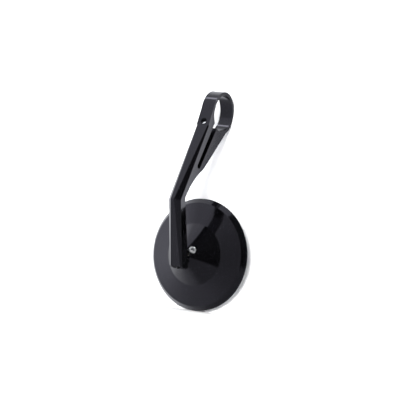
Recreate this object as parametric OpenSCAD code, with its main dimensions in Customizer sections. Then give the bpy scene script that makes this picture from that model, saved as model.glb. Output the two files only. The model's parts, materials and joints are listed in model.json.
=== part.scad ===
// Bar-end mirror: a machined arm with a split clamp ring, a swivelling ball stud,
// and a round mirror head with a stepped conical back.
// The clamp bore's centre is the origin. +X runs along the handlebar towards the rider,
// +Y points back at the rider's eyes, +Z is up. The arm and the cone face -Y.

/* [Clamp ring] */
// Bore of the clamp ring, which is the handlebar's diameter
bar_d = 25.4; // [22:0.1:30]
// Wall of the clamp ring
ring_wall = 2.4; // [2:0.1:4]
// Width of the arm and ring along the bar
arm_w = 9.5; // [8:0.1:14]

/* [Arm] */
// Angle of the upper arm from straight down
upper_lean = 30.4; // [20:0.1:40]
// Depth of the upper arm's front face inside the ring's outer radius
upper_inset = 3.1; // [2:0.1:5]
// Distance along the upper arm's front face from its point nearest the bar axis to the elbow
upper_len = 78; // [60:0.1:100]
// Angle by which the lower arm leans back towards the head
lower_lean = 17.3; // [10:0.1:25]
// Length of the lower arm's front face
lower_len = 51.5; // [40:0.1:70]
// Thickness of the lower arm from front to back
lower_t = 9.2; // [8.8:0.1:14]
// Depth of the wedge's back face inside the ring's outer radius
wedge_inset = 0.9; // [0.2:0.1:1.5]
// Depth of the flat round the pinch screw's hole inside the ring's outer radius
flat_inset = 0.4; // [0.2:0.1:1]
// Widest front edge facet, at the elbow
facet_max = 3.4; // [1:0.1:4]
// Narrowest front edge facet, at the two ends
facet_min = 0.8; // [0.4:0.1:1.5]

/* [Clamp slot and pinch screw] */
// Thickness of the wall in front of the slot
slot_front_wall = 6.4; // [5:0.1:7]
// Width of the slot at the ring
slot_w = 5.2; // [3:0.1:6]
// Width of the slot at its round end
slot_end_w = 4.1; // [2:0.1:5]
// Distance from the bar axis to the slot's round end
slot_len = 47.8; // [35:0.1:52]
// Thread diameter of the pinch screw
pinch_d = 4; // [3:0.5:5]
// Distance from the bore's wall to the pinch screw's axis
pinch_beyond = 3.3; // [2.8:0.1:4.5]
// Angle of the pinch screw above level
pinch_tilt = 37; // [34:1:42]

/* [Ball joint] */
// Diameter of the ball
ball_d = 8; // [7:0.1:9]
// Diameter of the neck under the ball
neck_d = 3.6; // [3:0.1:4.4]
// Diameter of the stud's shank in the arm
shank_d = 5; // [4:0.1:6]
// Wall of the friction cup around the ball
cup_wall = 1; // [0.8:0.1:1.4]
// Running clearance on the ball, the cup and the shank, per side
run_gap = 0.04; // [0.02:0.01:0.08]
// Height of the ball's centre above the head's rim plane
ball_h = 12.5; // [11.5:0.1:13.5]

/* [Mirror head] */
// Outer diameter of the head
head_d = 78; // [66:0.1:95]
// Height of the head's centre above the arm's lowest front corner
foot_rise = 11.4; // [9:0.1:16]
// Distance of the head's rim plane in front of the bar axis
head_fwd = 5; // [2:0.1:6]
// Angle by which the head is turned on its ball, seen from above
head_pan = -4; // [-8:0.5:8]
// Width of the bevel round the rim
rim_bevel = 2.9; // [2:0.1:4]
// Height of the bevel round the rim
rim_bevel_h = 3.2; // [2.6:0.1:4]
// Radius where the shallow cone meets the steep one
step_r = 21.6; // [18:0.1:26]
// Height of that step above the rim plane
step_h = 6.6; // [6:0.1:7.2]
// Height of the truncated tip above the rim plane
tip_h = 19.2; // [18:0.1:20]
// Radius of the truncated tip
tip_r = 5.1; // [5:0.1:6]
// Wall of the conical shell
shell_wall = 2; // [1.6:0.1:2.4]
// Thickness of the mirror glass
glass_t = 1.6; // [1.2:0.1:2]
// Radius of curvature of the convex glass
glass_curve = 900; // [700:50:1400]

/* [Hidden] */

fit_gap = 0.03;
join_gap = 0.05;
over = 1;
anodised = "#17171a";
stainless = "#c9cbce";
steel = "#8d9094";

bar_r = bar_d / 2;
ring_r = bar_r + ring_wall;
upper_face = ring_r - upper_inset;
wedge_face = ring_r - wedge_inset;
flat_face = ring_r - flat_inset;
pinch_off = bar_r + pinch_beyond;

// Arm outline, as [forward, up] points round the bar axis; forward is -Y.
function down_at(a) = [sin(a), -cos(a)];
function face_at(a) = [cos(a), sin(a)];
function turn(p, a) = [p[0] * cos(a) - p[1] * sin(a), p[0] * sin(a) + p[1] * cos(a)];
flat_lean = 21;
wedge_lean = 45;
upper_dir = down_at(upper_lean);
upper_out = face_at(upper_lean);
elbow_front = upper_face * upper_out + upper_len * upper_dir;
lower_dir = down_at(-lower_lean);
lower_out = face_at(-lower_lean);
foot_front = elbow_front + lower_len * lower_dir;
foot_rear = foot_front - lower_t * lower_out;
head_drop = -foot_front[1] - foot_rise;
elbow_drop = 1.8;
elbow_rear = elbow_front - lower_t * lower_out + elbow_drop * lower_dir;
foot_bevel_up = 3.6;
foot_bevel_back = 5.1;
// Where two faces at lean a and b, at distances p and q from the bar axis, meet
function meet(a, p, b, q) = [p * sin(b) - q * sin(a), q * cos(a) - p * cos(b)] / sin(b - a);
kink = meet(flat_lean, flat_face, upper_lean, upper_face);
flat_top = flat_face * face_at(flat_lean);
wedge_top = -wedge_face * face_at(wedge_lean);
wedge_len = 42;
wedge_end = -wedge_face * face_at(wedge_lean) + wedge_len * down_at(wedge_lean);
back_steps = 16;
back_hollow = 2.2;
back_across = turn((elbow_rear - wedge_end) / norm(elbow_rear - wedge_end), 90);
function back_point(t) = wedge_end + t * (elbow_rear - wedge_end) + 4 * t * (1 - t) * back_hollow * back_across;

// The stud and the ball lie on an axis along Y at head_drop below the bar.
head_r = head_d / 2;
ball_fwd = head_fwd + ball_h;
ball_r = ball_d / 2;
neck_r = neck_d / 2;
shank_r = shank_d / 2;
cup_in_r = ball_r + run_gap;
cup_out_r = cup_in_r + cup_wall;
seat_r = cup_out_r + run_gap;
cup_half = 2.6;
throat = 3.6;
throat_r = sqrt(seat_r * seat_r - throat * throat);
tip_hole_r = tip_r - 0.7;

// Where the arm's rear face stands on the head's axis
arm_rear_fwd = (foot_rear[0] + (-head_drop - foot_rear[1]) / lower_dir[1] * lower_dir[0]);
spot_depth = 1.6;
spot_r = 4.7;
spot_fwd = arm_rear_fwd + spot_depth;
bush_wall = 1;
bush_r = shank_r + run_gap + bush_wall;
bush_len = 4.6;
collar_r = 4.2;
collar_t = 1.4;
washer_t = 0.6;
collar_back = spot_fwd - washer_t - run_gap - collar_t;
shank_tip = spot_fwd + bush_len;
groove_w = 1.5;
groove_depth = 0.6;
groove_fwd = spot_fwd + 2.9;
pin_r = 1.5;
dog_r = 0.45;
// The retaining screw runs up the lower arm from its foot to the stud's groove.
pin_start = [groove_fwd, groove_depth / 2 - shank_r - head_drop];
pin_foot = (foot_front - pin_start) * lower_dir;
pin_top = 2;
pin_bottom = pin_foot - 0.5;

// Pinch screw, measured along its axis from the point nearest the bar
pinch_r = pinch_d / 2;
pinch_foot = pinch_off * down_at(pinch_tilt);
pinch_dir = face_at(pinch_tilt);
pinch_mouth = (flat_face - pinch_foot * face_at(flat_lean)) / (pinch_dir * face_at(flat_lean));
pinch_floor = -5.4;
pinch_washer_t = 0.8;
pinch_head_r = 3.5;
pinch_head_h = 4;
pinch_washer_r = 3.7;
pinch_recess_r = 3.9;
pinch_tip = pinch_mouth - 1.5;

// Heights in the head, above its rim plane
slope = (tip_h - step_h) / (step_r - tip_r);
function cone_h(r) = tip_h - (r - tip_r) * slope;
hub_r = 13;
hub_bore_r = 8.4;
hub_back = 2.2;
seat_gap = 0.1;
seat_top = ball_h - seat_gap;
seat_bottom = ball_h - 4.4;
spring_t = 0.9;
spring_bottom = seat_bottom - spring_t - join_gap;
nut_top = spring_bottom - join_gap;
nut_bottom = nut_top - 2.2;
pocket_r = head_r - 4.4;
plate_r = pocket_r - 0.4;
plate_t = 1.1;
plate_top = hub_back - join_gap;
plate_bottom = plate_top - plate_t;
glass_r = head_r - 3;
recess_r = head_r - 1.3;
rim_back = -0.6;
function sag(r) = glass_curve - sqrt(glass_curve * glass_curve - r * r);
arc_steps = 12;
coat_t = 0.1;
foam_t = 0.6;
// Height of the front of the glass at the axis; its edge stands higher by sag(glass_r)
glass_front = plate_bottom - foam_t - 3 * join_gap - coat_t - sag(glass_r);
bezel_lip_r = glass_r - 1;
edge_slope = sag(glass_r) - sag(bezel_lip_r);
seal_t = 0.25;
seal_top = glass_front - glass_t + sag(glass_r) - join_gap / 2;
bezel_lip_top = seal_top - seal_t - edge_slope - join_gap / 2;
bezel_back = bezel_lip_top - 0.8;
screw_pcd_r = 10.9;
plate_screw_r = 1;
plate_screw_len = 5;

// Clamp screw on the cone's flank, aimed at the ball's centre
clamp_at_r = 6.9;
clamp_h = cone_h(clamp_at_r);
clamp_turn = 33;
clamp_angle = atan2(clamp_at_r, clamp_h - ball_h);
clamp_reach = norm([clamp_at_r, clamp_h - ball_h]);
clamp_r = 2.5;
clamp_top = clamp_reach + 0.2;
pad_r = 1.5;
pad_len = 1.2;
pad_bottom = cup_out_r + run_gap + 0.02;
clamp_bottom = pad_bottom + pad_len;

// Places a shape drawn with forward on X and up on Y into the arm's plane
module in_side_plane() { rotate([90, 0, -90]) children(); }

// Places a shape whose Z is a height above the head's rim plane; the head is turned about the ball's centre.
module on_head() {
    translate([0, -ball_fwd, -head_drop]) rotate([0, 0, head_pan]) translate([0, ball_h, 0]) rotate([90, 0, 0]) children();
}

// Places a shape whose Z is a distance in front of the bar axis, on the head's axis
module on_stud() { translate([0, 0, -head_drop]) rotate([90, 0, 0]) children(); }

// Places a shape whose Z runs along the pinch screw's axis, towards its front end
module on_pinch() {
    in_side_plane() translate([pinch_foot[0], pinch_foot[1], 0]) rotate([0, 90, pinch_tilt]) children();
}

// Places a shape whose Z runs from the ball's centre out along the clamp screw's axis
module on_clamp() {
    on_head() translate([0, 0, ball_h]) rotate([0, 0, clamp_turn]) rotate([0, clamp_angle, 0]) children();
}

module hex_socket(across, depth) { cylinder(d = across / cos(30), h = depth, $fn = 6); }

module arm_outline() {
    polygon(concat([[0, 0], flat_top, kink, elbow_front,
        foot_front - foot_bevel_up * lower_dir,
        foot_front - foot_bevel_back * lower_out,
        foot_rear],
        [for (i = [back_steps : -1 : 0]) back_point(i / back_steps)],
        [wedge_top]));
}

// The slot runs from the ring's bore down inside the upper arm, and narrows to a drilled round end.
function in_slot(s, f) = s * upper_dir + (upper_face - slot_front_wall - f) * upper_out;
module slot() {
    start = bar_r / 2;
    end_r = slot_end_w / 2;
    end_s = slot_len - end_r;
    drilled = 0.05;
    end_at = in_slot(end_s, end_r);
    in_side_plane() linear_extrude(arm_w + 2 * over, center = true)
        polygon([in_slot(start, 0), in_slot(end_s, 0), in_slot(end_s, slot_end_w), in_slot(start, slot_w)]);
    in_side_plane() translate([end_at[0], end_at[1], 0])
        cylinder(r = end_r + drilled, h = arm_w + 2 * over, center = true, $fn = 64);
}

// A long edge facet is one plane: its leg is facet_max at the elbow and facet_min at reach.
// sense is 1 for the upper arm, which runs up from the elbow, and -1 for the lower arm.
module edge_facet(lean, reach, sense) {
    k = sense * (facet_max - facet_min) / reach;
    tall = 30;
    past_elbow = 8;
    low = (sense > 0) ? -past_elbow : -reach;
    in_side_plane() translate([elbow_front[0], elbow_front[1], 0]) rotate([0, 0, lean])
        translate([-facet_max, 0, arm_w / 2]) rotate([0, acos(1 / sqrt(2 + k * k)), atan2(-k, 1)])
            translate([-tall, low, 0]) cube([2 * tall, reach + past_elbow, tall]);
}

module both_sides() {
    children();
    mirror([1, 0, 0]) children();
}

module arm() {
    color(anodised) difference() {
        in_side_plane() union() {
            cylinder(r = ring_r, h = arm_w, center = true, $fn = 180);
            linear_extrude(arm_w, center = true) arm_outline();
        }
        in_side_plane() cylinder(r = bar_r, h = arm_w + 2 * over, center = true, $fn = 180);
        slot();
        both_sides() edge_facet(upper_lean, norm(kink - elbow_front), 1);
        both_sides() edge_facet(-lower_lean, lower_len, -1);
        on_pinch() translate([0, 0, pinch_floor - over / 2]) cylinder(r = pinch_r + 0.06, h = 20, $fn = 48);
        on_pinch() translate([0, 0, pinch_floor - 20]) cylinder(r = pinch_recess_r, h = 20, $fn = 64);
        on_stud() translate([0, 0, spot_fwd - 6]) cylinder(r = spot_r, h = 6, $fn = 64);
        on_stud() translate([0, 0, spot_fwd - over / 2])
            cylinder(r = bush_r + fit_gap, h = bush_len + over / 2 + 0.2, $fn = 64);
        swivel_pin_hole();
    }
}

// Z runs down the lower arm from the stud's groove to the foot.
module on_foot() {
    in_side_plane() translate([pin_start[0], pin_start[1], 0]) rotate([90, 0, -lower_lean]) children();
}

module swivel_pin_hole() {
    on_foot() cylinder(r = pin_r + fit_gap, h = pin_foot + over, $fn = 48);
}

module pinch_screw() {
    head_bottom = pinch_floor - pinch_washer_t - join_gap;
    chamfer = 0.4;
    color(stainless) on_pinch() difference() {
        translate([0, 0, head_bottom]) rotate_extrude($fn = 64) polygon([
            [0, -pinch_head_h], [pinch_head_r - chamfer, -pinch_head_h], [pinch_head_r, chamfer - pinch_head_h],
            [pinch_head_r, 0], [pinch_r, 0], [pinch_r, pinch_tip - head_bottom - chamfer],
            [pinch_r - chamfer, pinch_tip - head_bottom], [0, pinch_tip - head_bottom]]);
        translate([0, 0, head_bottom - pinch_head_h - over]) hex_socket(3, 2.2 + over);
    }
}

module pinch_washer() {
    color(stainless) on_pinch() translate([0, 0, pinch_floor - pinch_washer_t - join_gap / 2]) difference() {
        cylinder(r = pinch_washer_r, h = pinch_washer_t, $fn = 64);
        translate([0, 0, -over]) cylinder(r = pinch_r + 0.15, h = pinch_washer_t + 2 * over, $fn = 48);
    }
}

module swivel_bush() {
    color("#b08d57") difference() {
        on_stud() translate([0, 0, spot_fwd + join_gap]) difference() {
            cylinder(r = bush_r, h = bush_len - join_gap, $fn = 64);
            translate([0, 0, -over]) cylinder(r = shank_r + run_gap, h = bush_len + 2 * over, $fn = 64);
        }
        on_foot() cylinder(r = dog_r + 0.25, h = pin_foot, $fn = 32);
    }
}

module swivel_pin_screw() {
    color(stainless) on_foot() difference() {
        union() {
            translate([0, 0, pin_top]) cylinder(r = pin_r, h = pin_bottom - pin_top, $fn = 48);
            cylinder(r = dog_r, h = pin_top + over, $fn = 32);
        }
        translate([0, 0, pin_bottom - 1.4]) hex_socket(1.5, 2);
    }
}

module thrust_washer() {
    color("#e8e4d8") on_stud() translate([0, 0, spot_fwd - washer_t]) difference() {
        cylinder(r = spot_r - 0.2, h = washer_t - join_gap / 2, $fn = 64);
        translate([0, 0, -over]) cylinder(r = shank_r + 0.1, h = washer_t + 2 * over, $fn = 64);
    }
}

module ball_stud() {
    ball_up = ball_fwd;
    fillet = 0.6;
    chamfer = 0.3;
    collar_top = collar_back + collar_t;
    color(stainless) on_stud() union() {
        translate([0, 0, ball_up]) sphere(r = ball_r, $fn = 96);
        rotate_extrude($fn = 72) polygon([
            [0, ball_up], [neck_r, ball_up + ball_r / 2], [neck_r, collar_back - fillet],
            [neck_r + fillet * 0.3, collar_back - fillet * 0.3], [neck_r + fillet, collar_back],
            [collar_r - chamfer, collar_back], [collar_r, collar_back + chamfer],
            [collar_r, collar_top - chamfer], [collar_r - chamfer, collar_top],
            [shank_r, collar_top], [shank_r, groove_fwd - groove_w / 2],
            [shank_r - groove_depth, groove_fwd - groove_w / 2],
            [shank_r - groove_depth, groove_fwd + groove_w / 2], [shank_r, groove_fwd + groove_w / 2],
            [shank_r, shank_tip - chamfer], [shank_r - chamfer, shank_tip], [0, shank_tip]]);
    }
}

// A spherical cup round the ball, cut off flat at both ends and split down one side
module friction_cup() {
    slit = 0.6;
    color("#dcd9cf") on_head() translate([0, 0, ball_h]) difference() {
        sphere(r = cup_out_r, $fn = 96);
        sphere(r = cup_in_r, $fn = 96);
        for (end = [0, 1]) mirror([0, 0, end]) translate([0, 0, cup_half]) cylinder(r = 2 * cup_out_r, h = cup_out_r);
        rotate([0, 0, clamp_turn + 180]) translate([0, -slit / 2, -cup_out_r]) cube([cup_out_r + over, slit, 2 * cup_out_r]);
    }
}

// The shell's outside: a rim, a bevel, a shallow cone, a crisp step and a steep cone to a flat tip
module housing() {
    bevel_in_r = head_r - rim_bevel;
    shallow_in_h = step_h - shell_wall;
    steep_wall = shell_wall / cos(atan(slope));
    hub_top_h = cone_h(hub_r) - steep_wall;
    hollow_r = head_r - 6.6;
    color(anodised) difference() {
        on_head() difference() {
            rotate_extrude($fn = 240) polygon([
                [0, hub_back], [hub_r, hub_back], [hub_r, hub_top_h], [step_r - 1, shallow_in_h], [hollow_r, hub_back],
                [pocket_r, hub_back], [pocket_r, 0.4], [recess_r, 0.4], [recess_r, rim_back],
                [head_r, rim_back], [head_r, 0], [bevel_in_r, rim_bevel_h], [step_r, step_h],
                [tip_r, tip_h], [0, tip_h]]);
            cylinder(r = hub_bore_r, h = ball_h, $fn = 96);
            translate([0, 0, ball_h]) sphere(r = seat_r, $fn = 96);
            translate([0, 0, ball_h]) rotate_extrude($fn = 96) polygon([
                [0, 1], [throat_r - 0.1, 1], [throat_r - 0.1, throat + 0.3],
                [tip_hole_r, tip_h - ball_h], [tip_hole_r, tip_h], [0, tip_h]]);
            plate_screw_places() translate([0, 0, hub_back - over]) cylinder(r = plate_screw_r + fit_gap, h = 5 + over, $fn = 32);
        }
        on_clamp() cylinder(r = clamp_r + fit_gap, h = clamp_reach + 6, $fn = 64);
        on_clamp() translate([0, 0, clamp_reach - 0.5]) cylinder(r = clamp_r + 0.6, h = 6, $fn = 64);
    }
}

module plate_screw_places() {
    for (i = [0 : 2]) rotate([0, 0, 90 + i * 120]) translate([screw_pcd_r, 0, 0]) children();
}

// The rear half of the ball's seat, slid into the hub's bore
module cup_seat() {
    color("#c2a15a") on_head() difference() {
        translate([0, 0, seat_bottom]) cylinder(r = hub_bore_r - fit_gap, h = seat_top - seat_bottom, $fn = 96);
        translate([0, 0, ball_h]) sphere(r = seat_r, $fn = 96);
        translate([0, 0, seat_bottom - over]) cylinder(r = throat_r, h = 3, $fn = 64);
    }
}

// A coned washer that keeps the rear seat pressed on the ball
module disc_spring() {
    rise = 0.4;
    t = spring_t - rise;
    outer = hub_bore_r - 0.2;
    inner = throat_r + 0.3;
    color(steel) on_head() translate([0, 0, spring_bottom]) rotate_extrude($fn = 96)
        polygon([[outer, 0], [outer, t], [inner, t + rise], [inner, rise]]);
}

module seat_nut() {
    pin_places = 5.9;
    pin_hole_r = 0.8;
    color(steel) on_head() translate([0, 0, nut_bottom]) difference() {
        cylinder(r = hub_bore_r - fit_gap, h = nut_top - nut_bottom, $fn = 96);
        translate([0, 0, -over]) cylinder(r = throat_r, h = nut_top, $fn = 64);
        for (a = [0, 180]) rotate([0, 0, a]) translate([pin_places, 0, -over]) cylinder(r = pin_hole_r, h = 2.2, $fn = 32);
    }
}

module clamp_screw() {
    chamfer = 0.35;
    color(stainless) on_clamp() difference() {
        translate([0, 0, clamp_bottom]) rotate_extrude($fn = 64) polygon([
            [0, 0], [clamp_r - chamfer, 0], [clamp_r, chamfer], [clamp_r, clamp_top - clamp_bottom - chamfer],
            [clamp_r - chamfer, clamp_top - clamp_bottom], [0, clamp_top - clamp_bottom]]);
        translate([0, 0, clamp_top - 1.5]) hex_socket(2.5, 3);
    }
}

module pressure_pad() {
    color("#c2a15a") on_clamp() difference() {
        translate([0, 0, pad_bottom - 0.7]) cylinder(r = pad_r, h = pad_len + 0.7 - join_gap, $fn = 64);
        sphere(r = seat_r, $fn = 96);
    }
}

module backing_plate() {
    color(steel) on_head() difference() {
        translate([0, 0, plate_bottom]) cylinder(r = plate_r, h = plate_t, $fn = 180);
        plate_screw_places() translate([0, 0, plate_bottom - over]) cylinder(r = plate_screw_r + 0.1, h = 4, $fn = 32);
        plate_screw_places() translate([0, 0, plate_bottom - over]) cylinder(r = 2.1, h = 0.6 + over, $fn = 48);
    }
}

module plate_screws() {
    head_t = 0.55;
    color(stainless) on_head() plate_screw_places() difference() {
        union() {
            translate([0, 0, plate_bottom]) cylinder(r = 1.95, h = head_t, $fn = 48);
            translate([0, 0, plate_bottom]) cylinder(r = plate_screw_r, h = plate_screw_len, $fn = 32);
        }
        translate([0, 0, plate_bottom - over]) hex_socket(1.3, 1.35);
    }
}

// Points along the glass's curve, from the axis out to radius r; h is its height at the axis
function glass_arc(h, r) = [for (i = [0 : arc_steps]) [r * i / arc_steps, h + sag(r * i / arc_steps)]];
function reversed(points) = [for (i = [len(points) - 1 : -1 : 0]) points[i]];

// The foam fills the space between the flat plate and the curved glass.
module foam_pad() {
    r = plate_r - 0.4;
    top = plate_bottom - join_gap;
    color("#3a3a3a") on_head() rotate_extrude($fn = 180)
        polygon(concat(glass_arc(glass_front + coat_t + 2 * join_gap, r), [[r, top], [0, top]]));
}

// The reflecting layer on the front of the glass
module mirror_coating() {
    r = glass_r - 0.3;
    bottom = glass_front + join_gap / 2;
    color("#d9dde2") on_head() rotate_extrude($fn = 180)
        polygon(concat(glass_arc(bottom, r), reversed(glass_arc(bottom + coat_t, r))));
}

module mirror_glass() {
    color("#cfd8dc") on_head() rotate_extrude($fn = 180)
        polygon(concat(glass_arc(glass_front - glass_t, glass_r), reversed(glass_arc(glass_front, glass_r))));
}

// A flat rubber ring between the glass's edge and the bezel's lip
module rim_seal() {
    color("#202020") on_head() rotate_extrude($fn = 180) polygon([
        [bezel_lip_r + 0.1, seal_top - seal_t - edge_slope], [glass_r, seal_top - seal_t],
        [glass_r, seal_top], [bezel_lip_r + 0.1, seal_top - edge_slope]]);
}

// The ring that holds the glass: a wall pressed into the housing, and a lip with a bevelled mouth
module rim_bezel() {
    lip_bevel = 0.5;
    out_r = recess_r - fit_gap;
    color(anodised) on_head() rotate_extrude($fn = 240) polygon([
        [glass_r + join_gap, 0.35], [glass_r + join_gap, bezel_lip_top], [bezel_lip_r, bezel_lip_top],
        [bezel_lip_r, bezel_lip_top - 0.3], [bezel_lip_r + lip_bevel, bezel_back],
        [out_r - lip_bevel, bezel_back], [out_r, bezel_back + lip_bevel], [out_r, 0.35]]);
}

arm();
pinch_screw();
pinch_washer();
swivel_bush();
swivel_pin_screw();
thrust_washer();
ball_stud();
friction_cup();
housing();
cup_seat();
disc_spring();
seat_nut();
clamp_screw();
pressure_pad();
backing_plate();
plate_screws();
foam_pad();
mirror_coating();
mirror_glass();
rim_seal();
rim_bezel();
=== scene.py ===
"""Bar-end mirror: finishes, rounded edges, curved glass and a small studio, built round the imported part."""

import json
import math

import bmesh
import bpy
import numpy as np
from bpy.props import FloatProperty, FloatVectorProperty, IntProperty, PointerProperty
from mathutils import Matrix, Vector


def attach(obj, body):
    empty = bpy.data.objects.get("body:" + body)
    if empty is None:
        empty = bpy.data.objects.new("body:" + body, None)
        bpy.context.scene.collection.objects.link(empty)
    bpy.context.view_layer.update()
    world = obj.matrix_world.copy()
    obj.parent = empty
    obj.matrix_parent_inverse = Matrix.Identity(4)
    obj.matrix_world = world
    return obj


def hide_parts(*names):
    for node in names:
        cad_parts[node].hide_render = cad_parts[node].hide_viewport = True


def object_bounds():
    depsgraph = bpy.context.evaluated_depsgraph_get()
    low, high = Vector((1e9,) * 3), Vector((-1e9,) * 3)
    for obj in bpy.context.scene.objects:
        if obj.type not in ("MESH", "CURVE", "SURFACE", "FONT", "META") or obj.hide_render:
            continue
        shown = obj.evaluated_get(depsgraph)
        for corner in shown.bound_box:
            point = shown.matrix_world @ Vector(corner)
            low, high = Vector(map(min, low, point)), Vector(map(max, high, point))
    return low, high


bl_info = {
    "name": "Bar-end mirror",
    "version": (1, 0, 0),
    "blender": (4, 5, 0),
    "location": "3D View > Sidebar > Mirror",
    "description": "Builds the finishes, small shapes and studio of a bar-end mirror",
    "category": "Object",
}

MM = 0.001

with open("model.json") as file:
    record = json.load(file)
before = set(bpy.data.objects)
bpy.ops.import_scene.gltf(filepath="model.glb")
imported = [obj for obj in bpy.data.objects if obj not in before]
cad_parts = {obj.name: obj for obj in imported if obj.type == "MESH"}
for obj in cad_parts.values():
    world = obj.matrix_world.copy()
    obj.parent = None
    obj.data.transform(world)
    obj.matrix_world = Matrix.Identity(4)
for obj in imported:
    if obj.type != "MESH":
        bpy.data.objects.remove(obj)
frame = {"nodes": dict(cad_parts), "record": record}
cad_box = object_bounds()
joint_at = {j["name"]: Vector(j["pos_m"]) for j in frame["record"]["behaviour"]["joints"]}
BALL = joint_at["head_turn"]

# The ball's centre stands this far in front of the head's rim plane.
BALL_HEIGHT = 12.5 * MM

# The arm's flank stands this far to the side of its middle.
FLANK = 4.75 * MM

# The head stands 4 degrees round from square on its ball at rest.
HEAD_PAN = math.radians(-4.0)
HEAD_TURN = Matrix.Rotation(HEAD_PAN, 3, "Z")


# ---------------------------------------------------------------- colours and shader nodes


def linear(colour):
    """An sRGB hex colour such as 0x17171A as linear RGBA."""
    parts = [((colour >> shift) & 255) / 255 for shift in (16, 8, 0)]
    return [c / 12.92 if c <= 0.04045 else ((c + 0.055) / 1.055) ** 2.4 for c in parts] + [1.0]


def add(tree, kind, links=(), **settings):
    """Adds one shader node. links holds (input name or number, output socket); settings are node
    attributes, or input values when the name starts with an underscore."""
    made = tree.nodes.new("ShaderNode" + kind)
    for key, value in settings.items():
        if key.startswith("_"):
            name = key[1:]
            made.inputs[int(name) if name.isdigit() else name.replace("_", " ")].default_value = value
        else:
            setattr(made, key, value)
    for socket, source in links:
        tree.links.new(source, made.inputs[socket])
    return made


def material(name):
    """A new empty material and its node tree with an output."""
    made = bpy.data.materials.new(name)
    made.use_nodes = True
    made.node_tree.nodes.clear()
    return made, made.node_tree


def finish_with(tree, shader):
    """Links a surface shader to a new material output."""
    add(tree, "OutputMaterial", [("Surface", shader)])


def place(tree, rotation=(0.0, 0.0, 0.0), location=(0.0, 0.0, 0.0)):
    """Object coordinates in metres, moved and turned so that a pattern can follow a part's own axis."""
    coords = add(tree, "TexCoord")
    return add(tree, "Mapping", [("Vector", coords.outputs["Object"])], vector_type="TEXTURE",
               _Location=location, _Rotation=rotation).outputs["Vector"]


def gloss_black(name, colour, gloss, turned):
    """Gloss black anodised aluminium: a deep black with a clear, glassy surface over very fine cutter
    marks. Where the part was turned in a lathe the marks are rings round its axis, and where it was milled
    they run along the cut. The marks soften the reflections a little without blurring them; thin patchy
    wear changes the gloss by a few hundredths."""
    ring_pitch, cut_width, patch = 0.12 * MM, 0.9 * MM, 14 * MM
    mat, tree = material(name)
    if turned:
        here = place(tree, rotation=(0.0, 0.0, HEAD_PAN), location=tuple(BALL))
        split = add(tree, "SeparateXYZ", [(0, here)])
        flat = add(tree, "CombineXYZ", [(0, split.outputs["X"]), (1, split.outputs["Z"])])
        reach = add(tree, "VectorMath", [(0, flat.outputs[0])], operation="LENGTH").outputs["Value"]
        wave = add(tree, "Math", [(0, reach)], operation="MULTIPLY", _1=2 * math.pi / ring_pitch)
        marks = add(tree, "Math", [(0, wave.outputs[0])], operation="SINE").outputs[0]
    else:
        here = place(tree)
        stretched = add(tree, "Mapping", [("Vector", here)], _Scale=(9.0, 1.0, 1.0),
                        _Rotation=(0.6, 0.0, 0.0))
        marks = add(tree, "TexNoise", [("Vector", stretched.outputs[0])], _Scale=1 / cut_width,
                    _Detail=2.0).outputs["Fac"]
    patches = add(tree, "TexNoise", [("Vector", here)], _Scale=1 / patch, _Detail=3.0).outputs["Fac"]
    rough = add(tree, "MapRange", [("Value", patches)], _From_Min=0.3, _From_Max=0.7, _To_Min=gloss - 0.02,
                _To_Max=gloss + 0.03)
    bump = add(tree, "Bump", [("Height", marks)], _Strength=0.05, _Distance=0.004 * MM)
    body = add(tree, "BsdfPrincipled", [("Roughness", rough.outputs[0]), ("Normal", bump.outputs[0])],
               _Base_Color=colour, _IOR=1.55, _Specular_Tint=linear(0xEFECFF))
    finish_with(tree, body.outputs[0])
    return mat


def bare_metal(name, colour, roughness, mark_mm=0.0):
    """Bare metal: polished, machined or ground. The base colour is the metal's own reflection, and a noise
    with grains of the given size, if any, breaks the reflections up, as turning and grinding do."""
    mat, tree = material(name)
    links = []
    if mark_mm:
        here = place(tree)
        noise = add(tree, "TexNoise", [("Vector", here)], _Scale=1 / (mark_mm * MM),
                    _Detail=3.0).outputs["Fac"]
        rough = add(tree, "MapRange", [("Value", noise)], _To_Min=max(roughness - 0.06, 0.04),
                    _To_Max=roughness + 0.08)
        bump = add(tree, "Bump", [("Height", noise)], _Strength=0.12, _Distance=0.006 * MM)
        links = [("Roughness", rough.outputs[0]), ("Normal", bump.outputs[0])]
    body = add(tree, "BsdfPrincipled", links, _Base_Color=colour, _Metallic=1.0, _Roughness=roughness)
    finish_with(tree, body.outputs[0])
    return mat


def moulded(name, colour, roughness, grain_mm, lift):
    """Moulded plastic, rubber or foam: a soft colour, and a fine grain of the given size in the surface."""
    mat, tree = material(name)
    here = place(tree)
    grain = add(tree, "TexNoise", [("Vector", here)], _Scale=1 / (grain_mm * MM),
                _Detail=4.0).outputs["Fac"]
    bump = add(tree, "Bump", [("Height", grain)], _Strength=lift, _Distance=0.02 * MM)
    body = add(tree, "BsdfPrincipled", [("Normal", bump.outputs[0])], _Base_Color=colour,
               _Roughness=roughness, _IOR=1.49)
    finish_with(tree, body.outputs[0])
    return mat


def clear_glass(name):
    """Float glass: clear with a faint green cast, mirror smooth, and slightly uneven over centimetres."""
    mat, tree = material(name)
    here = place(tree)
    swell = add(tree, "TexNoise", [("Vector", here)], _Scale=1 / (30 * MM), _Detail=1.0).outputs["Fac"]
    bump = add(tree, "Bump", [("Height", swell)], _Strength=0.02, _Distance=0.01 * MM)
    body = add(tree, "BsdfPrincipled", [("Normal", bump.outputs[0])], _Base_Color=linear(0xF1F7F4),
               _Roughness=0.01, _IOR=1.52, _Transmission_Weight=1.0)
    finish_with(tree, body.outputs[0])
    return mat


# ---------------------------------------------------------------- meshes


def show(obj, node, body, mat):
    """Puts a finished piece in the scene in place of a CAD node."""
    bpy.context.scene.collection.objects.link(obj)
    obj.data.materials.clear()
    obj.data.materials.append(mat)
    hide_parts(node)
    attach(obj, body)
    return obj


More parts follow.
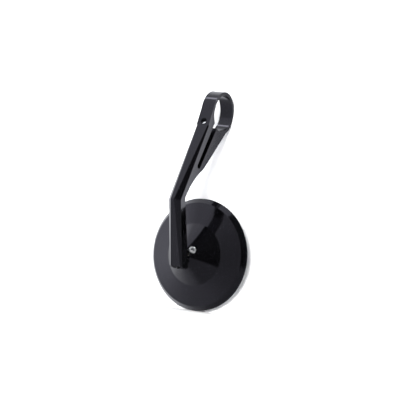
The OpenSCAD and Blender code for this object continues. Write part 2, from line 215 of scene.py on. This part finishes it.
def rounded_copy(node, width_mm, flat_deg=0.6, sharp_deg=24.0):
    """A copy of a CAD node with its corners broken, as a machinist leaves them. The mesh's doubles are
    merged, its flat faces joined up, its soft joints shaded smooth and its sharp edges bevelled."""
    source = frame["nodes"][node]
    bm = bmesh.new()
    bm.from_mesh(source.data)
    bm.transform(source.matrix_world)
    bmesh.ops.remove_doubles(bm, verts=bm.verts, dist=0.002 * MM)
    bmesh.ops.dissolve_limit(bm, angle_limit=math.radians(flat_deg), verts=bm.verts, edges=bm.edges)
    bmesh.ops.recalc_face_normals(bm, faces=bm.faces)
    limit = math.radians(sharp_deg)
    for face in bm.faces:
        face.smooth = True
    for edge in bm.edges:
        edge.smooth = len(edge.link_faces) == 2 and edge.calc_face_angle(0.0) < limit
    mesh = bpy.data.meshes.new(node + "_look")
    bm.to_mesh(mesh)
    bm.free()
    obj = bpy.data.objects.new(node + "_look", mesh)
    bevel = obj.modifiers.new("edges", "BEVEL")
    bevel.width = width_mm * MM
    bevel.segments = 2
    bevel.limit_method = "ANGLE"
    bevel.angle_limit = limit
    bevel.harden_normals = True
    return obj


def grid_piece(name, points):
    """A mesh object from an array of points [u, v, xyz], with quads between neighbours. It closes on itself
    along u."""
    nu, nv = points.shape[:2]
    a, b = np.meshgrid(np.arange(nu), np.arange(nv - 1), indexing="ij")
    here, beside = a * nv + b, (a + 1) % nu * nv + b
    quads = np.stack([here, beside, beside + 1, here + 1], axis=-1).reshape(-1, 4)
    mesh = bpy.data.meshes.new(name)
    mesh.from_pydata(points.reshape(-1, 3).tolist(), [], quads.tolist())
    bm = bmesh.new()
    bm.from_mesh(mesh)
    bmesh.ops.remove_doubles(bm, verts=bm.verts, dist=0.0005 * MM)
    bmesh.ops.dissolve_degenerate(bm, edges=bm.edges, dist=0.0005 * MM)
    bmesh.ops.recalc_face_normals(bm, faces=bm.faces)
    bm.to_mesh(mesh)
    bm.free()
    mesh.shade_smooth()
    return bpy.data.objects.new(name, mesh)


def round_corners(corners, radius, steps=5):
    """A profile with its corners rounded. Each corner becomes a quadratic curve tangent to both of its
    sides, (1 - t)^2 start + 2 t (1 - t) corner + t^2 end, which leaves each side at the radius from the
    corner, or at 45% of the shorter side where that is less."""
    corners = np.asarray(corners, float)
    out = [corners[0]]
    t = np.linspace(0.0, 1.0, steps)[:, None]
    for before, here, after in zip(corners[:-2], corners[1:-1], corners[2:]):
        to_before, to_after = before - here, after - here
        la, lb = np.linalg.norm(to_before), np.linalg.norm(to_after)
        cut = min(radius, 0.45 * la, 0.45 * lb)
        start, end = here + to_before / la * cut, here + to_after / lb * cut
        out.extend((1 - t) ** 2 * start + 2 * t * (1 - t) * here + t ** 2 * end)
    out.append(corners[-1])
    return np.array(out)


def in_head(radius, height, angle):
    """Points of the head: radius from its axis, height in front of the rim plane and angle round the axis,
    all arrays. x = r cos(a), z = r sin(a) and y = -(h - ball height), turned about the ball by the head's
    rest angle."""
    x, z = radius * np.cos(angle), radius * np.sin(angle)
    local = np.stack([x, BALL_HEIGHT - height + 0 * radius, z], axis=-1)
    return local @ np.array(HEAD_TURN).T + np.array(BALL)


def revolve(profile, steps):
    """A profile of (radius, height) points in metres turned round the head's axis: the grid point (i, j) is
    profile point j at angle 2 pi i / steps."""
    angle = np.linspace(0.0, 2 * math.pi, steps, endpoint=False)[:, None]
    radius = np.repeat(profile[None, :, 0], steps, 0)
    height = np.repeat(profile[None, :, 1], steps, 0)
    return in_head(radius, height, angle + 0 * radius)


def head_heights(node):
    """A CAD node's points as radius from the head's axis and height in front of the rim plane."""
    points = np.array([v.co for v in frame["nodes"][node].data.vertices])
    local = (points - np.array(BALL)) @ np.array(HEAD_TURN)
    return np.hypot(local[:, 0], local[:, 2]), BALL_HEIGHT - local[:, 1]


def head_span(node):
    """Lowest and highest height of a CAD node in the head."""
    height = head_heights(node)[1]
    return float(height.min()), float(height.max())


def head_reach(node):
    """Largest radius of a CAD node round the head's axis."""
    return float(head_heights(node)[0].max())


def sag(radius, curve):
    """How far a sphere of the given curve rises at this radius: curve - sqrt(curve^2 - r^2)."""
    return curve - math.sqrt(curve * curve - radius * radius)


def sheet_of_glass(name, reach, bottom, thickness, curve, edge, steps):
    """A round of curved sheet: both faces follow spheres of the same curve, one thickness apart, with
    height = bottom + curve - sqrt(curve^2 - r^2), and the rim between them is ground round."""
    rings = 26
    arcs = np.linspace(0.0, reach, rings)
    low = [(r, bottom + sag(r, curve)) for r in arcs]
    high = [(r, bottom + thickness + sag(r, curve)) for r in arcs[::-1]]
    low_edge = round_corners([low[-2], low[-1], high[0], high[1]], min(edge, 0.4 * thickness))
    profile = np.array(low[:-2] + [tuple(p) for p in low_edge] + high[2:])
    return grid_piece(name, revolve(profile, steps))


# ---------------------------------------------------------------- settings


class MirrorFinish(bpy.types.PropertyGroup):
    """Colours and gloss."""

    black: FloatVectorProperty(name="Anodising", description="Colour of the anodised aluminium",
                               subtype="COLOR", size=4, min=0.0, max=1.0, default=linear(0x040405))
    gloss: FloatProperty(name="Gloss", description="Roughness of the anodised surface; lower is glossier",
                         default=0.09, min=0.02, max=0.6, subtype="FACTOR")
    steel: FloatVectorProperty(name="Stainless steel",
                               description="Reflection colour of the screws and the ball stud",
                               subtype="COLOR", size=4, min=0.0, max=1.0, default=linear(0xCBCCCE))


class MirrorShape(bpy.types.PropertyGroup):
    """Small shapes."""

    arm_edge: FloatProperty(name="Arm edge", description="Width of the broken edge on the arm",
                            default=0.28 * MM, min=0.05 * MM, max=0.6 * MM, unit="LENGTH")
    head_edge: FloatProperty(name="Head edge", description="Width of the broken edge on the head",
                             default=0.22 * MM, min=0.05 * MM, max=0.6 * MM, unit="LENGTH")
    curve: FloatProperty(name="Glass curve", description="Radius of curvature of the convex glass",
                         default=0.9, min=0.5, max=3.0, unit="LENGTH")
    round_steps: IntProperty(name="Steps round", description="Steps round each turned piece", default=240,
                             min=64, max=480)


class MirrorStage(bpy.types.PropertyGroup):
    """Camera and light."""

    azimuth: FloatProperty(name="Azimuth",
                           description="Camera's angle round the part from straight in front",
                           default=math.radians(28.95), subtype="ANGLE")
    elevation: FloatProperty(name="Elevation", description="Camera's angle above level",
                             default=math.radians(1.57), subtype="ANGLE")
    roll: FloatProperty(name="Roll", description="Angle by which the part leans to the right in the view",
                        default=math.radians(6.33), subtype="ANGLE")
    distance: FloatProperty(name="Distance", description="Camera's distance from the part", default=1.5,
                            min=0.3, max=6.0, unit="LENGTH")
    lens: FloatProperty(name="Lens", description="Focal length in millimetres on a 36 mm sensor",
                        default=196.3, min=20.0, max=400.0)
    key: FloatProperty(name="Key light", description="Power of the key light in watts", default=24.0,
                       min=0.0, max=200.0)
    spark: FloatProperty(name="Sparkle", description="Power in watts that the two small lamps share",
                         default=0.8, min=0.0, max=20.0)


# ---------------------------------------------------------------- operators


class MIRROR_OT_arm(bpy.types.Operator):
    """Rounded arm with its clamp ring, in milled black anodising"""

    bl_idname = "mirror.arm"
    bl_label = "Arm"

    def execute(self, context):
        look = context.scene.mirror_finish
        mat = gloss_black("milled_gloss_black_anodising", look.black, look.gloss, turned=False)
        arm = rounded_copy("arm", context.scene.mirror_shape.arm_edge / MM)
        show(arm, "arm", "arm", mat)
        return {"FINISHED"}


class MIRROR_OT_head(bpy.types.Operator):
    """Rounded conical shell and the ring that holds the glass"""

    bl_idname = "mirror.head"
    bl_label = "Head shell"

    def execute(self, context):
        look = context.scene.mirror_finish
        edge = context.scene.mirror_shape.head_edge / MM
        mat = gloss_black("turned_gloss_black_anodising", look.black, look.gloss, turned=True)
        for node in ("housing", "rim_bezel"):
            show(rounded_copy(node, edge, sharp_deg=9.0), node, "head", mat)
        return {"FINISHED"}


class MIRROR_OT_glass(bpy.types.Operator):
    """True spherical glass and its silvering"""

    bl_idname = "mirror.glass"
    bl_label = "Glass"

    def execute(self, context):
        shape = context.scene.mirror_shape
        silver = bare_metal("vacuum_silvering", linear(0xE9ECEE), 0.02)
        sheets = (("convex_glass", "mirror_glass", 0.25, "clear_glass", clear_glass("clear_float_glass")),
                  ("silvering", "mirror_coating", 0.03, "silvering", silver))
        for name, node, edge_mm, slot, mat in sheets:
            low, high = head_span(node)
            reach = head_reach(node)
            thickness = high - low - sag(reach, shape.curve)
            sheet = sheet_of_glass(name, reach, low, thickness, shape.curve, edge_mm * MM,
                                   shape.round_steps)
            show(sheet, node, "head", mat)
        return {"FINISHED"}


class MIRROR_OT_hardware(bpy.types.Operator):
    """Screws, washers, the ball stud and the inner pieces"""

    bl_idname = "mirror.hardware"
    bl_label = "Hardware"

    def execute(self, context):
        steel = context.scene.mirror_finish.steel
        polished = bare_metal("polished_stainless_steel", steel, 0.16, 0.5)
        # Painted shade: the swivel pin screw is stainless steel, but it is given this dark grey colour so
        # that its end at the arm's foot shows no bright glint.
        steel_painted_dark = bare_metal("stainless_steel_painted_dark", linear(0x3A3A3D), 0.35, 0.3)
        finishes = {
            "stainless": polished,
            "bronze": bare_metal("machined_bronze", linear(0xC69A62), 0.28, 0.6),
            "spring_steel": bare_metal("ground_spring_steel", linear(0x9A9EA3), 0.3, 0.4),
            "plain_aluminium": bare_metal("rolled_aluminium_sheet", linear(0xD5D7DA), 0.34, 1.2),
            "acetal": moulded("moulded_acetal", linear(0xDEDBD0), 0.38, 0.4, 0.05),
            "foam": moulded("closed_cell_foam", linear(0x2B2B2C), 0.9, 0.35, 0.8),
            "rubber_seal": moulded("rubber_seal", linear(0x161617), 0.6, 0.2, 0.2),
        }
        for node, body in (("pinch_screw", "arm"), ("clamp_screw", "head"), ("pinch_washer", "arm"),
                           ("swivel_pin_screw", "arm"), ("ball_stud", "stud"), ("plate_screws", "head")):
            # The swivel pin screw takes the dark grey steel, painted shade in place of its stainless glint;
            # the other pieces take polished steel.
            mat = steel_painted_dark if node == "swivel_pin_screw" else polished
            show(rounded_copy(node, 0.12), node, body, mat)
        slots = {part["node"]: part["material_slot"] for part in frame["record"]["subparts"]}
        for node, obj in frame["nodes"].items():
            if slots[node] in finishes:
                obj.data.materials.clear()
                obj.data.materials.append(finishes[slots[node]])
        return {"FINISHED"}


class MIRROR_OT_stage(bpy.types.Operator):
    """Pale floor and leaning board, soft light, grey card and the camera"""

    bl_idname = "mirror.stage"
    bl_label = "Studio"

    def execute(self, context):
        settings = context.scene.mirror_stage
        build_world(context.scene)
        build_floor(cad_box)
        build_board(cad_box)
        build_lights(settings)
        build_card(settings)
        build_camera(context.scene, settings)
        return {"FINISHED"}


# ---------------------------------------------------------------- stage

# Tones of the surroundings, where 1 is white: the room on the right and on the left, the foot of the bright
# box as a share of it, the strip light, the part behind, and how much of all these the flag takes away
ROOM_RIGHT, ROOM_LEFT, BOX_FOOT, STRIP, BEHIND, FLAG_DEPTH = 0.30, 0.62, 0.25, 4.0, 1.6, 0.95

# The flag's middle direction, and the angles from it where the black ends and where it is full
FLAG_WAY = Vector((0.44, -0.81, 0.39)).normalized()
FLAG_END, FLAG_FULL = math.radians(49), math.radians(46.5)

# Each lamp's place in metres, its disc's size, the setting that holds its power, the share of that power it
# takes, and whether the shiny pieces show it
LAMPS = (
    ("key", (0.26, -1.21, 0.36), 0.55, "key", 1.0, False),
    ("back", (-0.5, 0.7, 0.5), 0.5, "key", 0.4, False),
    ("spark", (-0.1, -0.8, 0.55), 0.16, "spark", 0.4, True),
    ("glint", (0.60, -0.17, 0.72), 0.09, "spark", 2.5, True),
)
LAMP_AIM = Vector((0.0, -0.02, -0.07))

# The floor lies this far under the part's lowest point, and the board this far behind its rearmost one. The
# board's foot stands at BOARD_FOOT front to back.
FLOOR_GAP = 0.2 * MM
BOARD_GAP = 0.3 * MM
BOARD_FOOT = -2.0 * MM

# Where the grey card's outline shows on the arm's flank, as (forward, up) in millimetres, and how far off
# it stands
CARD_EDGE = ((12.0, -2.0), (13.0, -16.0), (22.0, -33.0), (26.0, -42.0), (14.0, -52.0), (-60.0, -52.0),
             (-60.0, 30.0), (12.0, 30.0))
CARD_DISTANCE = 0.3

# The camera aims at this point between ring and head, moved right and up across its view.
AIM = Vector((0.0, -20 * MM, -65 * MM))
AIM_RIGHT, AIM_UP = 4.74 * MM, 3.66 * MM
SENSOR_WIDTH = 36.0


def ramp(tree, value, start, end, low, high):
    """A smooth step of a value: low before start, high after end."""
    return add(tree, "MapRange", [("Value", value)], interpolation_type="SMOOTHSTEP", _From_Min=start,
               _From_Max=end, _To_Min=low, _To_Max=high).outputs[0]


def maths(tree, operation, a, b):
    """Two values, each a number or an output socket, put together by a maths node."""
    made = add(tree, "Math", operation=operation)
    for socket, value in zip(made.inputs, (a, b)):
        if isinstance(value, float):
            socket.default_value = value
        else:
            tree.links.new(value, socket)
    return made.outputs[0]


def build_world(scene):
    """Soft surroundings: a bright box to the left, white overhead and brighter behind, a short bright strip
    light high on the left, a dim room in front, and one large black flag to the right. Each is a range of
    the direction's x, y and z, with soft edges. The view itself sees plain white."""
    world = bpy.data.worlds.new("studio")
    scene.world = world
    world.use_nodes = True
    tree = world.node_tree
    tree.nodes.clear()
    way = add(tree, "TexCoord").outputs["Generated"]
    x, y, z = add(tree, "SeparateXYZ", [(0, way)]).outputs
    room = ramp(tree, x, -0.1, -0.5, ROOM_RIGHT, ROOM_LEFT)
    box = maths(tree, "MULTIPLY", ramp(tree, x, -0.5, -0.85, 0.0, 1.0),
                ramp(tree, z, -0.5, -0.1, BOX_FOOT, 1.0))
    front = maths(tree, "ADD", room, box)
    above = ramp(tree, z, 0.27, 0.36, 0.0, 1.0)
    behind = ramp(tree, y, -0.05, 0.45, 0.0, BEHIND)
    level = maths(tree, "MAXIMUM", maths(tree, "MAXIMUM", front, above), behind)
    facing = add(tree, "VectorMath", [(0, way)], operation="DOT_PRODUCT",
                 _1=tuple(FLAG_WAY)).outputs["Value"]
    cap = ramp(tree, facing, math.cos(FLAG_END), math.cos(FLAG_FULL), 0.0, FLAG_DEPTH)
    beside = ramp(tree, y, -0.88, -0.78, 0.0, 1.0)
    flag = maths(tree, "SUBTRACT", 1.0, maths(tree, "MULTIPLY", cap, beside))
    level = maths(tree, "MULTIPLY", level, flag)
    across = maths(tree, "MULTIPLY", ramp(tree, x, -0.53, -0.50, 0.0, 1.0),
                   ramp(tree, x, -0.46, -0.43, 1.0, 0.0))
    along = maths(tree, "MULTIPLY", ramp(tree, y, -0.24, -0.2, 0.0, STRIP),
                  ramp(tree, y, -0.08, -0.04, 1.0, 0.0))
    along = maths(tree, "MULTIPLY", along, ramp(tree, z, 0.5, 0.7, 0.0, 1.0))
    level = maths(tree, "ADD", level, maths(tree, "MULTIPLY", across, along))
    soft = add(tree, "Background", [("Strength", level)], _Color=linear(0xF6F8FC))
    plain = add(tree, "Background", _Color=(1.0, 1.0, 1.0, 1.0), _Strength=1.0)
    seen = add(tree, "LightPath").outputs["Is Camera Ray"]
    mix = add(tree, "MixShader", [(0, seen), (1, soft.outputs[0]), (2, plain.outputs[0])])
    add(tree, "OutputWorld", [("Surface", mix.outputs[0])])


def build_floor(box):
    """A pale floor just under the lowest point of the part."""
    level = box[0][2] - FLOOR_GAP
    size = 1.6
    mesh = bpy.data.meshes.new("floor")
    corners = [(-size, -size), (size, -size), (size, size), (-size, size)]
    mesh.from_pydata([(x, y, level) for x, y in corners], [], [(0, 1, 2, 3)])
    floor = bpy.data.objects.new("floor", mesh)
    bpy.context.scene.collection.objects.link(floor)
    mat, tree = material("pale_matt_floor")
    here = place(tree)
    mottle = add(tree, "TexNoise", [("Vector", here)], _Scale=12.0, _Detail=2.0).outputs["Fac"]
    tone = add(tree, "MapRange", [("Value", mottle)], _To_Min=0.90, _To_Max=0.92)
    body = add(tree, "BsdfPrincipled", [("Base Color", tone.outputs[0])], _Roughness=0.9, _IOR=1.4)
    finish_with(tree, body.outputs[0])
    mesh.materials.append(mat)
    floor.visible_glossy = False


def build_board(box):
    """A pale board that the part leans back on, close behind the clamp ring and the bottom of the head. It
    is seen from the front only, so the part can be looked at from behind."""
    wide, top = 1.2, 1.2
    rear = box[1][1] + BOARD_GAP
    lowest = box[0][2] - FLOOR_GAP
    lean = (rear - BOARD_FOOT) / -lowest
    corners = [(-wide, lowest), (wide, lowest), (wide, top), (-wide, top)]
    mesh = bpy.data.meshes.new("board")
    mesh.from_pydata([(x, rear + lean * z, z) for x, z in corners], [], [(0, 1, 2, 3)])
    board = bpy.data.objects.new("board", mesh)
    bpy.context.scene.collection.objects.link(board)
    mat, tree = material("pale_matt_board")
    tooth = add(tree, "TexNoise", [("Vector", place(tree))], _Scale=1 / (3 * MM)).outputs["Fac"]
    bump = add(tree, "Bump", [("Height", tooth)], _Strength=0.05, _Distance=0.1 * MM)
    matt = add(tree, "BsdfDiffuse", [("Normal", bump.outputs[0])], _Color=linear(0xF7F7F8))
    rear_side = add(tree, "NewGeometry").outputs["Backfacing"]
    clear = add(tree, "BsdfTransparent")
    sides = add(tree, "MixShader", [(0, rear_side), (1, matt.outputs[0]), (2, clear.outputs[0])])
    finish_with(tree, sides.outputs[0])
    mesh.materials.append(mat)
    board.visible_glossy = False


def build_lights(settings):
    """Two large soft lights, from in front and from behind, light the floor and every matt surface, and two
    small lamps high up give the bare metal and the broken edges their sparkle."""
    for name, at, size, setting, share, mirrored in LAMPS:
        data = bpy.data.lights.new(name, "AREA")
        data.shape = "DISK"
        data.size = size
        data.energy = getattr(settings, setting) * share
        lamp = bpy.data.objects.new(name, data)
        lamp.location = at
        lamp.rotation_euler = (LAMP_AIM - Vector(at)).to_track_quat("-Z", "Y").to_euler()
        lamp.visible_glossy = mirrored
        bpy.context.scene.collection.objects.link(lamp)


def build_card(settings):
    """A grey card that only reflections show. Seen in the arm's flank, its near edge runs along the clamp
    slot. It stands where straight lines from the camera, turned back by the flank, have gone on for the
    card's distance."""
    eye = camera_place(settings)[0]
    eye.x = 2 * FLANK - eye.x

    def beyond(forward, up):
        at = Vector((FLANK, -forward * MM, up * MM))
        return at + (at - eye).normalized() * CARD_DISTANCE

    outline = [beyond(*corner) for corner in CARD_EDGE]
    mesh = bpy.data.meshes.new("grey_card")
    mesh.from_pydata([tuple(p) for p in outline], [], [tuple(range(len(outline)))])
    card = bpy.data.objects.new("grey_card", mesh)
    bpy.context.scene.collection.objects.link(card)
    mat, tree = material("matt_grey_card")
    tooth = add(tree, "TexNoise", [("Vector", place(tree))], _Scale=1 / (2 * MM)).outputs["Fac"]
    bump = add(tree, "Bump", [("Height", tooth)], _Strength=0.1, _Distance=0.1 * MM)
    shade = add(tree, "Emission", _Color=linear(0xB4B4BA), _Strength=1.0)
    matt = add(tree, "BsdfDiffuse", [("Normal", bump.outputs[0])], _Color=linear(0x202022))
    finish_with(tree, add(tree, "AddShader", [(0, shade.outputs[0]), (1, matt.outputs[0])]).outputs[0])
    mesh.materials.append(mat)
    card.visible_camera = False
    card.visible_diffuse = False
    card.visible_shadow = False


def camera_place(settings):
    """The camera's place and its right, up and back directions, from its azimuth, elevation, roll and
    distance."""
    az, el, roll = settings.azimuth, settings.elevation, settings.roll
    back = Vector((math.sin(az) * math.cos(el), -math.cos(az) * math.cos(el), math.sin(el)))
    level_right = Vector((math.cos(az), math.sin(az), 0.0))
    level_up = back.cross(level_right)
    right = math.cos(roll) * level_right + math.sin(roll) * level_up
    up = math.cos(roll) * level_up - math.sin(roll) * level_right
    aim = AIM + AIM_RIGHT * right + AIM_UP * up
    return aim + back * settings.distance, right, up, back


def build_camera(scene, settings):
    """The camera stands at its azimuth and elevation round the part, leans by the roll and aims at its
    middle."""
    at, right, up, back = camera_place(settings)
    data = bpy.data.cameras.new("camera")
    data.lens = settings.lens
    data.sensor_width = SENSOR_WIDTH
    data.clip_start, data.clip_end = 0.05, 20.0
    camera = bpy.data.objects.new("camera", data)
    camera.matrix_world = Matrix.Translation(at) @ Matrix((right, up, back)).transposed().to_4x4()
    scene.collection.objects.link(camera)
    scene.camera = camera
    scene.view_settings.view_transform = "Standard"


# ---------------------------------------------------------------- panel and registration

STEPS = (MIRROR_OT_arm, MIRROR_OT_head, MIRROR_OT_glass, MIRROR_OT_hardware, MIRROR_OT_stage)


class MIRROR_PT_panel(bpy.types.Panel):
    """Building steps and settings of the mirror"""

    bl_label = "Bar-end mirror"
    bl_idname = "MIRROR_PT_panel"
    bl_space_type = "VIEW_3D"
    bl_region_type = "UI"
    bl_category = "Mirror"

    def draw(self, context):
        for group in ("mirror_finish", "mirror_shape", "mirror_stage"):
            settings = getattr(context.scene, group)
            column = self.layout.column(align=True)
            for name in settings.__annotations__:
                column.prop(settings, name)
        for step in STEPS:
            self.layout.operator(step.bl_idname)


GROUPS = {"mirror_finish": MirrorFinish, "mirror_shape": MirrorShape, "mirror_stage": MirrorStage}


def register():
    for cls in (*GROUPS.values(), *STEPS, MIRROR_PT_panel):
        bpy.utils.register_class(cls)
    for name, cls in GROUPS.items():
        setattr(bpy.types.Scene, name, PointerProperty(type=cls))


def unregister():
    for name in GROUPS:
        delattr(bpy.types.Scene, name)
    for cls in (MIRROR_PT_panel, *reversed(STEPS), *reversed(list(GROUPS.values()))):
        bpy.utils.unregister_class(cls)


def main():
    """Registers the add-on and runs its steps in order."""
    register()
    for step in STEPS:
        group, name = step.bl_idname.split(".")
        getattr(getattr(bpy.ops, group), name)()


if __name__ == "__main__":
    main()
